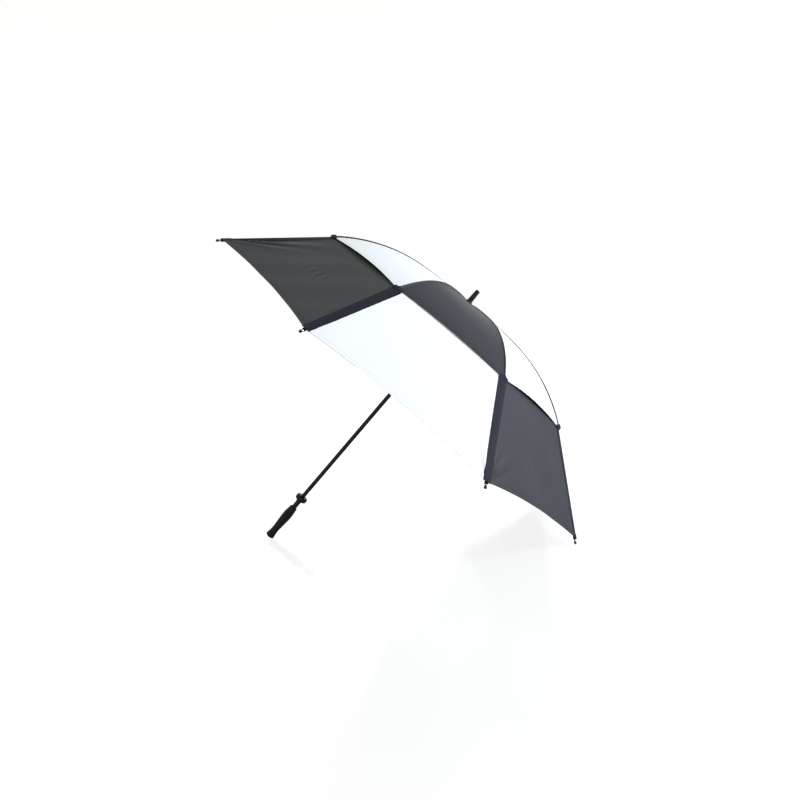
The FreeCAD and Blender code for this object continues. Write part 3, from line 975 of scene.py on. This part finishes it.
    def point(self, station: Array, share: Array, outward: Array | float = 0.0) -> Array:
        """Points of the cloth, upright.

        In the panel's own frame, with X down its middle, a point is at radius * cos(half sector),
        share * radius * sin(half sector), and the outline's height, where the radius is the
        station less depth * sin(slope) and the height is less depth * cos(slope).

        Args:
            station: Stations.
            share: Shares across.
            outward: How far outside the cloth's outer face.

        Returns:
            The points.
        """
        slope = DOME.slope(station)
        depth = self.layer.value - outward - self.rise(station, share)
        radius = station - depth * np.sin(slope)
        x = radius * math.cos(HALF_SECTOR)
        y = share * radius * math.sin(HALF_SECTOR)
        z = DOME.height(station) - depth * np.cos(slope)
        turn = self.number * 2.0 * HALF_SECTOR
        cos, sin = math.cos(turn), math.sin(turn)
        return np.stack([x * cos - y * sin, x * sin + y * cos, z], axis=-1)

    def normal(self, station: Array, share: Array) -> Array:
        """Outward normals, from the surface's two slopes taken over short steps."""
        step, turn = 0.0004, 0.002
        down = self.point(station + step, share) - self.point(station - step, share)
        side = self.point(station, share + turn) - self.point(station, share - turn)
        return unit(np.cross(down, side))


class Side(Enum):
    """The two halves of cloth that hang on a rib."""

    NEXT = 1
    BEFORE = -1

    def gore(self, rib: int, layer: Layer) -> Gore:
        """The panel on that side of a rib."""
        return Gore(rib if self is Side.NEXT else (rib - 2) % RIBS + 1, layer)

    def share(self, from_rib: Array) -> Array:
        """The panel's share across, from a share that is 0 at this rib and 1 at the panel's middle."""
        return (from_rib - 1.0) * self.value

    @property
    def word(self) -> str:
        """Its name within a piece's name."""
        return self.name.lower()


@dataclass(frozen=True)
class Pleat:
    """How a half panel gathers at its rib as the umbrella folds, for each metre of its width."""

    across: float = 0.085
    proud: float = 0.062

    def squash(self, piece: bpy.types.Object, rib: int, side: Side, station: float) -> None:
        """Works out the axis along which a half panel would flatten onto its rib, and gives the piece its
        own mesh.

        The half panel runs from the rib along e = (cos, -sin * sin(slope)) in (round, outward). It has to
        end along p = (across, proud), so the axis is e - p; what would be kept of it, 1 - |e - p| / (e .
        axis), is not worked out here.

        Args:
            piece: The half panel.
            rib: Its rib.
            side: Which side of the rib it is on.
            station: Where on the rib the slope and the anchor are taken.
        """
        slope = float(DOME.slope(np.array(station)))
        _, round_shaft, outward = DOME.rib_frame(rib, slope)
        spread = np.array([math.cos(HALF_SECTOR), -math.sin(HALF_SECTOR) * math.sin(slope)])
        lost = spread - np.array([self.across, self.proud])
        axis = round_shaft * side.value * lost[0] + outward * lost[1]
        anchor = STANCE.lay(DOME.rib_point(rib, station, 0.0))
        tuple(STANCE.lean(unit(axis)))
        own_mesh(piece)


@dataclass(frozen=True)
class Cut:
    """A run of cloth that one body carries, between two edges, each a station and a hollow."""

    name: str
    layer: Layer
    body: str
    rows: int
    fold_station: float
    start: tuple[float, float]
    end: tuple[float, float]
    hem_width: float = 0.0


class Canopy:
    """Both canopies, as half panels that hang on the ribs and meet down the panels' middles."""

    def __init__(self) -> None:
        """Three runs: crown and vent of the upper canopy, and the skirt below."""
        gore = Gore(1, Layer.UPPER)
        elbow, head = 0.338, 0.0085
        self.pleat = Pleat()
        self.cuts = (
            Cut("crown", Layer.UPPER, "rib_inner", 66, 0.20, (head, 0.0), (elbow, 0.0)),
            Cut(
                "vent",
                Layer.UPPER,
                "rib_outer",
                20,
                0.385,
                (elbow, 0.0),
                (gore.vent_edge, gore.vent_hollow),
                0.008,
            ),
            Cut(
                "skirt",
                Layer.LOWER,
                "rib_outer",
                68,
                0.56,
                (gore.inner_edge, gore.inner_hollow),
                (gore.hem, gore.hem_hollow),
                0.009,
            ),
        )

    def build(self) -> None:
        """Every half panel of every run."""
        for cut in self.cuts:
            for rib in range(1, RIBS + 1):
                for side in Side:
                    self.half_panel(cut, rib, side)

    def stations(self, cut: Cut, gore: Gore, share: Array) -> tuple[Array, Array]:
        """The grid's stations, and how much of the hem's extra thickness each row has.

        Args:
            cut: The run of cloth.
            gore: The panel.
            share: Shares across, one for each column.

        Returns:
            Stations, rows by columns, and one hem share for each row.
        """
        start, end = gore.edge(*cut.start, share), gore.edge(*cut.end, share)
        body_end = end - cut.hem_width
        travel = np.linspace(0.0, 1.0, cut.rows)[:, None]
        rows = start + (body_end - start) * travel
        thick = np.zeros(cut.rows)
        if cut.hem_width:
            turned = np.array([0.0005, 0.25, 0.5, 0.75, 0.94, 1.0])
            rows = np.concatenate([rows, body_end + cut.hem_width * turned[:, None]])
            thick = np.concatenate([thick, [0.7, 1.0, 1.0, 1.0, 0.75, 0.2]])
        return rows, thick

    def half_panel(self, cut: Cut, rib: int, side: Side) -> bpy.types.Object:
        """One half panel, with its hem and the hem's stitching.

        Args:
            cut: The run of cloth.
            rib: The rib it hangs on.
            side: Which side of that rib.

        Returns:
            The piece.
        """
        gore = side.gore(rib, cut.layer)
        near = np.array([0.0, 0.002, 0.0045, 0.008, 0.013, 0.02])
        from_rib = np.concatenate([near, np.linspace(0.03, 1.0, 52)])
        share = side.share(from_rib)
        station, thick = self.stations(cut, gore, share)
        shares = np.broadcast_to(share, station.shape)
        rise = thick[:, None] * gore.hem_rise
        inward = rise * (0.5 if cut.layer is Layer.LOWER else 0.0)
        outside = gore.point(station, shares, rise)
        inside = gore.point(station, shares, -gore.thickness - inward)
        normals = gore.normal(station, shares)
        along = station / np.cos(DOME.slope(station))
        cloth = np.stack([shares * station * math.sin(HALF_SECTOR), along], axis=-1)
        skin = shell(STANCE.lay(outside), STANCE.lay(inside), STANCE.lean(normals), cloth)
        materials = [gore.slot]
        if cut.layer is Layer.UPPER and not gore.black:
            skin.paint = self.seam_paint(station.shape, len(skin.faces))
            materials.append(Trim.BLACK_THREAD)
        if cut.hem_width:
            inset = station[-1] - cut.hem_width + 0.0012
            line = gore.point(inset, share, gore.hem_rise + 0.00004)
            normal = gore.normal(inset, share)
            row = Stitch().row(STANCE.lay(line), STANCE.lean(normal))
            skin = skin.joined(row, len(materials))
            materials.append(Trim.BLACK_THREAD if gore.black else Trim.WHITE_THREAD)
        piece = skin.make(f"{cut.name}_cloth_{rib}_{side.word}", f"{cut.body}_{rib}", materials)
        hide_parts(f"{cut.layer.name.lower()}_panel_{gore.number}")
        self.pleat.squash(piece, rib, side, cut.fold_station)
        self.declare(cut, gore)
        return piece

    @staticmethod
    def seam_paint(shape: tuple[int, int], faces: int, lines: int = 6) -> list[int]:
        """Material numbers of a half panel whose first columns of faces are its dark seam.

        Args:
            shape: Rows and columns of the grid.
            faces: How many faces the half panel has.
            lines: How many columns of faces the seam takes.

        Returns:
            1 on the seam and 0 elsewhere.
        """
        marks = np.zeros(faces, int)
        quads = (shape[0] - 1) * (shape[1] - 1)
        column = np.arange(quads) % (shape[1] - 1)
        marks[:quads][column < lines] = 1
        return marks.tolist()

    def declare(self, cut: Cut, gore: Gore) -> None:
        """Works out what the half panel was cut from, its length down the rib and its flat points, and keeps
        neither.

        Args:
            cut: The run of cloth.
            gore: The panel.
        """
        length = DOME.length(cut.start[0], cut.end[0])
        share = np.linspace(0.0, 1.0, 25)
        start, end = gore.edge(*cut.start, share), gore.edge(*cut.end, share)
        station = start + (end - start) * np.linspace(0.0, 1.0, 60)[:, None]
        points = gore.point(station, np.broadcast_to(share, station.shape))


@dataclass(frozen=True)
class SeamTape:
    """Twill tape sewn over each rib of the skirt, from a squared tab on the vent's edge to the tip."""

    half_width: float = 0.0156
    tip_share: float = 0.76
    flatness: float = 0.6
    thickness: float = 0.0005
    lie: float = 0.00012
    start: float = 0.4180
    end: float = 0.6450
    end_square: float = 0.233
    tab: float = 0.010
    tab_extra: float = 0.0015
    tab_fade: float = 0.0015
    seam_inset: float = 0.0024
    fold_turn: float = math.radians(48.0)
    fold_keep: float = 0.05

    def point(self, rib: int, side: Side, station: Array, from_rib: Array, outward: Array | float) -> Array:
        """Points on the tape, upright: on the upper cloth at its tab, then down onto the lower.

        Args:
            rib: The rib.
            side: The side of the rib.
            station: Stations.
            from_rib: Distances from the rib, across the cloth.
            outward: How far outside the cloth.

        Returns:
            The points.
        """
        share = side.share(from_rib / (station * math.sin(HALF_SECTOR)))
        upper, lower = side.gore(rib, Layer.UPPER), side.gore(rib, Layer.LOWER)
        over = smooth((station - upper.vent_edge - 0.0008) / 0.006)[..., None]
        on_hem = smooth((station - (lower.hem - 0.0105)) / 0.002)
        above = upper.point(station, share, outward + upper.hem_rise)
        below = lower.point(station, share, outward + lower.hem_rise * on_hem)
        return above * (1.0 - over) + below * over

    def narrowing(self, station: Array) -> Array:
        """Share of its full width that the tape has: 1 at its start, less in proportion to the tip."""
        return 1.0 - (1.0 - self.tip_share) * (station - self.start) / (self.end - self.start)

    def on_tab(self, station: Array) -> Array:
        """1 on the squared tab at the tape's start, and 0 beyond it."""
        return 1.0 - smooth((station - self.start - self.tab) / self.tab_fade)

    def half(self, rib: int, side: Side) -> bpy.types.Object:
        """Half a tape, from the rib's ridge to its sewn edge, with its row of stitches."""
        rows, columns = 96, 9
        share = np.linspace(0.0, 1.0, columns)
        square = self.end_square * share * self.half_width
        start, end = self.start + square, self.end + square * self.tip_share
        station = start + (end - start) * np.linspace(0.0, 1.0, rows)[:, None]
        widths = share * self.half_width * self.narrowing(station)
        tab = self.on_tab(station)
        edge = 1.0 - 0.5 * (share > 0.99)
        top = self.lie + (self.thickness + self.tab_extra * tab) * edge
        outside = self.point(rib, side, station, widths, top)
        inside = self.point(rib, side, station, widths, self.lie)
        down = np.gradient(outside, axis=0)
        across = np.gradient(outside, axis=1) * side.value
        normals = unit(np.cross(down, across))
        slope = DOME.slope(station[:, 0])
        turn = rib_turn(rib)
        ridge = [np.sin(slope) * math.cos(turn), np.sin(slope) * math.sin(turn), np.cos(slope)]
        normals[:, 0] = np.stack(ridge, axis=-1)
        normals = unit(normals[:, :1] * self.flatness + normals * (1.0 - self.flatness))
        cloth = np.stack([widths * side.value, station / math.cos(DOME.skirt)], axis=-1)
        skin = shell(STANCE.lay(outside), STANCE.lay(inside), STANCE.lean(normals), cloth)
        run = np.linspace(self.start + 0.005, self.end - 0.002, 240)
        inset = self.half_width * self.narrowing(run) - self.seam_inset
        height = self.lie + self.thickness + self.tab_extra * self.on_tab(run) + 0.00005
        line = STANCE.lay(self.point(rib, side, run, inset, height))
        lift = STANCE.lay(self.point(rib, side, run, inset, height + 0.001)) - line
        skin = skin.joined(Stitch().row(line, unit(lift)), 1)
        piece = skin.make(f"seam_tape_{rib}_{side.word}", f"rib_outer_{rib}", [Trim.TAPE, Trim.BLACK_THREAD])
        self.fold(piece, rib, side)
        flat = (self.half_width, DOME.length(self.start, self.end))
        return piece

    def fold(self, piece: bpy.types.Object, rib: int, side: Side) -> None:
        """Works out the axis along which the half tape would turn up along the pleat as the umbrella folds,
        and gives it its own mesh.
        """
        station = 0.56
        _, round_shaft, outward = DOME.rib_frame(rib, float(DOME.slope(np.array(station))))
        axis = round_shaft * side.value * math.sin(self.fold_turn) - outward * math.cos(self.fold_turn)
        anchor = STANCE.lay(DOME.rib_point(rib, station, Layer.LOWER.value))
        tuple(STANCE.lean(axis))
        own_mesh(piece)

    def build(self) -> None:
        """Both halves of every rib's tape."""
        for rib in range(1, RIBS + 1):
            for side in Side:
                self.half(rib, side)


@dataclass(frozen=True)
class TipFitting:
    """A rib's tip: a rolled metal sleeve, a black bead on its end, and the cloth pocket round it."""

    sleeve_length: float = 0.017
    sleeve_radius: float = 0.0025
    bore: float = 0.00205
    bead_neck: float = 0.0029
    pocket_length: float = 0.012

    def sleeve(self) -> Array:
        """The sleeve's closed outline: a rolled lip, two pressed rings and a plain barrel, then its bore."""
        barrel, lip = self.sleeve_radius, self.sleeve_radius + 0.00035
        back = -self.sleeve_length
        outer = [(back, lip - 0.0002), (back + 0.0004, lip), (back + 0.0011, lip), (back + 0.0016, barrel)]
        for ring in (0.0045, 0.0062):
            middle = back + ring
            outer += [(middle - 0.0005, barrel), (middle, barrel - 0.00022), (middle + 0.0005, barrel)]
        outer += [(-0.0030, barrel)]
        inner = [(-0.0030, self.bore), (back, self.bore)]
        outline = np.array(outer + inner)
        return np.stack([outline[:, 0], outline[:, 1], outline[:, 1]], axis=-1)

    def bead(self) -> Array:
        """The bead's outline from pole to pole: a short collar that runs into a ball."""
        ball = DOME.ball
        meet = -math.sqrt(ball**2 - self.bead_neck**2)
        neck = self.bead_neck
        collar = [(-0.0046, 0.0), (-0.0046, neck - 0.0003), (-0.0043, neck), (meet - 0.0004, neck)]
        turn = np.linspace(math.acos(meet / ball), 0.0, 14)[:-1]
        round_end = [(ball * math.cos(a), ball * math.sin(a)) for a in turn]
        return np.array(collar + round_end + [(ball, 0.0)])

    def build(self) -> None:
        """Sleeve, bead and pocket on every rib."""
        for rib in range(1, RIBS + 1):
            down_rib, round_shaft, outward = (STANCE.lean(v) for v in DOME.rib_frame(rib, DOME.skirt))
            station = DOME.span - DOME.ball + DOME.rod_depth * math.sin(DOME.skirt)
            centre = STANCE.lay(DOME.rib_point(rib, station, DOME.rod_depth))
            body = f"rib_outer_{rib}"
            sleeve = ring_band(self.sleeve(), centre, down_rib, round_shaft, outward, 36)
            piece = sleeve.make(f"tip_sleeve_{rib}", body, [Slot.TIP_METAL])
            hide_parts(f"rib_tip_{rib}")
            sharpen(piece)
            bead = turned_solid(self.bead(), centre, down_rib)
            piece = bead.make(f"tip_bead_{rib}", body, [Trim.BEAD])
            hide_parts(f"rib_tip_{rib}")
            sharpen(piece)
            start = STANCE.lay(DOME.rib_point(rib, 0.6385, 0.0039))
            pocket = band_outline(0.0, self.pocket_length, 0.0036, 0.0040, 0.0005)
            skin = ring_band(pocket, start, down_rib, round_shaft, outward, 28)
            skin.make(f"tip_pocket_{rib}", body, [Trim.TAPE])


def band_outline(start: float, end: float, across: float, up: float, thickness: float) -> Array:
    """Closed outline of a cloth band, with softened edges, for ring_band."""
    soft = thickness * 0.3
    rows = [
        (start, across + soft, up + soft),
        (start + soft, across + thickness, up + thickness),
        (end - soft, across + thickness, up + thickness),
        (end, across + soft, up + soft),
        (end - soft, across, up),
        (start + soft, across, up),
    ]
    return np.array(rows)


def sharpen(piece: bpy.types.Object) -> None:
    """Keeps the piece's corners crisp where faces meet at more than 35 degrees."""
    piece.data.set_sharp_from_angle(angle=math.radians(35.0))


@dataclass(frozen=True)
class RibTies:
    """Small loops of tape that tie the cloth to the ribs inside."""

    width: float = 0.006
    inner: tuple[float, ...] = (0.14, 0.25)
    outer: tuple[float, ...] = (0.46, 0.56)

    def build(self) -> None:
        """Two loops on each inner rib and two on each outer rib."""
        for rib in range(1, RIBS + 1):
            for body, places, drop in (("rib_inner", self.inner, 0.0031), ("rib_outer", self.outer, 0.0040)):
                skin = None
                for place in places:
                    slope = float(DOME.slope(np.array(place)))
                    down_rib, round_shaft, outward = (STANCE.lean(v) for v in DOME.rib_frame(rib, slope))
                    centre = STANCE.lay(DOME.rib_point(rib, place, drop + 0.0008))
                    outline = band_outline(-self.width / 2, self.width / 2, 0.0024, 0.0031, 0.0004)
                    loop = ring_band(outline, centre, down_rib, round_shaft, outward, 24)
                    skin = loop if skin is None else skin.joined(loop)
                skin.make(f"{body}_ties_{rib}", f"{body}_{rib}", [Trim.TAPE])


# ---------------------------------------------------------------- the frame's own pieces


class FrameDress:
    """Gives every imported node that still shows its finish."""

    by_name: dict[str, Slot] = {
        "shaft": Slot.SHAFT_PAINT,
        "top_notch": Slot.HEAD_PLASTIC,
        "runner": Slot.HEAD_PLASTIC,
        "notch_wire": Slot.SPRING_STEEL,
        "runner_wire": Slot.SPRING_STEEL,
        "top_catch": Slot.SPRING_STEEL,
        "bottom_catch": Slot.SPRING_STEEL,
        "handle_grip": Slot.GRIP_RUBBER,
        "handle_collar": Slot.GLOSS_PLASTIC,
        "handle_end_cap": Slot.GLOSS_PLASTIC,
        "canopy_washer": Slot.GLOSS_PLASTIC,
        "ferrule": Slot.GLOSS_PLASTIC,
        "rib_inner": Slot.RIB_FIBREGLASS,
        "rib_outer": Slot.RIB_FIBREGLASS,
        "stretcher": Slot.STRETCHER_METAL,
    }

    def dress(self) -> None:
        """Assigns materials to the nodes' own slots; their meshes stay as they are."""
        for name, node in frame["nodes"].items():
            if node.hide_render:
                continue
            choice = self.by_name.get(name) or self.by_name.get(name.rsplit("_", 1)[0])
            for slot in node.material_slots:
                slot.link = "OBJECT"
                slot.material = FINISHES.of(choice)
            log.info("%s: dressed as %s", name, choice.key)


# ---------------------------------------------------------------- studio


@dataclass(frozen=True)
class SoftBox:
    """A square lamp of soft light."""

    name: str
    place: Colour
    aim: Colour
    size: float
    power: float
    tint: Colour = (1.0, 1.0, 1.0)


@dataclass(frozen=True)
class Studio:
    """Pale floor, white surroundings, soft boxes and the camera."""

    lamps: tuple[SoftBox, ...] = (
        SoftBox("key_right", (2.1, -0.6, 0.9), (0.3, -0.3, 0.5), 0.5, 44.0, (0.70, 0.80, 1.0)),
        SoftBox("fill_front", (1.6, -3.2, 2.2), (0.0, 0.0, 0.4), 1.6, 12.0, (0.97, 0.98, 1.0)),
    )
    camera_place: Colour = (0.0670, -2.0043, 0.6062)
    heading: float = math.radians(-5.023)
    dip: float = math.radians(5.939)
    roll: float = math.radians(-5.724)
    lens: float = 30.89
    shift: float = 0.05

    def build(self) -> None:
        """Everything round the object."""
        scene = bpy.context.scene
        scene.view_settings.view_transform = "Standard"
        self.floor()
        self.world(scene)
        for lamp in self.lamps:
            self.lamp(lamp)
        self.camera(scene)

    def floor(self) -> None:
        """A wide pale floor with a faint polish."""
        grey = (0.15, 0.15, 0.15, 1.0)
        recipe = Recipe("floor_finish", Base_Color=grey, Emission_Strength=0.84, Specular_IOR_Level=0.5)
        seen = Number(recipe, recipe.node("ShaderNodeLightPath").outputs["Is Camera Ray"])
        recipe.feed("Emission Color", recipe.mixed(seen, (0.25, 0.25, 0.25), (1.0, 1.0, 1.0)))
        smudge = recipe.noise(3.0, 3.0)
        recipe.feed("Roughness", 0.11 + smudge * 0.05)
        mesh = bpy.data.meshes.new("floor")
        reach = 9.0
        corners = np.array([(-1, -1), (1, -1), (1, 1), (-1, 1)]) * reach
        mesh.from_pydata([(float(x), float(y), 0.0) for x, y in corners], [], [[0, 1, 2, 3]])
        mesh.materials.append(recipe.material)
        piece = bpy.data.objects.new("floor", mesh)
        bpy.context.scene.collection.objects.link(piece)

    def world(self, scene: bpy.types.Scene) -> None:
        """A white surround that falls off overhead, to the left and behind the camera."""
        world = bpy.data.worlds.new("surround")
        world.use_nodes = True
        tree = ShaderTree(world.node_tree)
        x, y, z = tree.parts(tree.node("ShaderNodeTexCoord").outputs["Generated"])
        overhead = z.eased(0.5, 0.95, 1.0, 0.60)
        left = x.eased(-0.95, -0.5, 0.52, 1.0)
        behind = y.eased(-0.9, 0.1, 0.62, 1.0)
        lit = overhead * left * behind
        seen = Number(tree, tree.node("ShaderNodeLightPath").outputs["Is Camera Ray"])
        strength = seen + (1.0 - seen) * lit
        tint = tree.mixed(z.eased(0.3, 0.8, 0.0, 1.0), (1.0, 1.0, 1.0), (0.94, 1.0, 0.86))
        background = tree.node("ShaderNodeBackground", {}, {"Color": tint, "Strength": strength})
        tree.node("ShaderNodeOutputWorld", {}, {"Surface": background.outputs[0]})
        scene.world = world

    def lamp(self, box: SoftBox) -> None:
        """One soft box, aimed at its point."""
        data = bpy.data.lights.new(box.name, "AREA")
        data.shape = "SQUARE"
        data.size = box.size
        data.energy = box.power
        data.color = box.tint
        lamp = bpy.data.objects.new(box.name, data)
        back = unit(np.array(box.place) - np.array(box.aim))
        right = unit(np.cross(UP, back))
        lamp.matrix_world = placed(right, np.cross(back, right), back, box.place)
        bpy.context.scene.collection.objects.link(lamp)

    def camera(self, scene: bpy.types.Scene) -> None:
        """The camera, from its place, heading, dip and roll."""
        data = bpy.data.cameras.new("camera")
        data.sensor_width = 36.0
        data.lens = self.lens
        data.shift_x = self.shift
        data.clip_end = 60.0
        level = math.cos(self.dip)
        sideways, forwards = math.sin(self.heading) * level, math.cos(self.heading) * level
        ahead = np.array([sideways, forwards, -math.sin(self.dip)])
        flat_right = unit(np.cross(ahead, UP))
        flat_up = np.cross(flat_right, ahead)
        right = flat_right * math.cos(self.roll) + flat_up * math.sin(self.roll)
        camera = bpy.data.objects.new("camera", data)
        camera.matrix_world = placed(right, np.cross(right, ahead), -ahead, self.camera_place)
        scene.collection.objects.link(camera)
        scene.camera = camera


def placed(x: Array, y: Array, z: Array, place: Colour) -> Matrix:
    """The matrix with those three directions as its axes, at a place."""
    rows = np.eye(4)
    rows[:3, 0], rows[:3, 1], rows[:3, 2], rows[:3, 3] = x, y, z, place
    return Matrix(rows.tolist())


def main() -> None:
    """Builds the umbrella's looks and the studio."""
    logging.basicConfig(level=logging.INFO, format="%(name)s: %(message)s")
    Canopy().build()
    SeamTape().build()
    TipFitting().build()
    RibTies().build()
    FrameDress().dress()
    Studio().build()


if __name__ == "__main__":
    main()
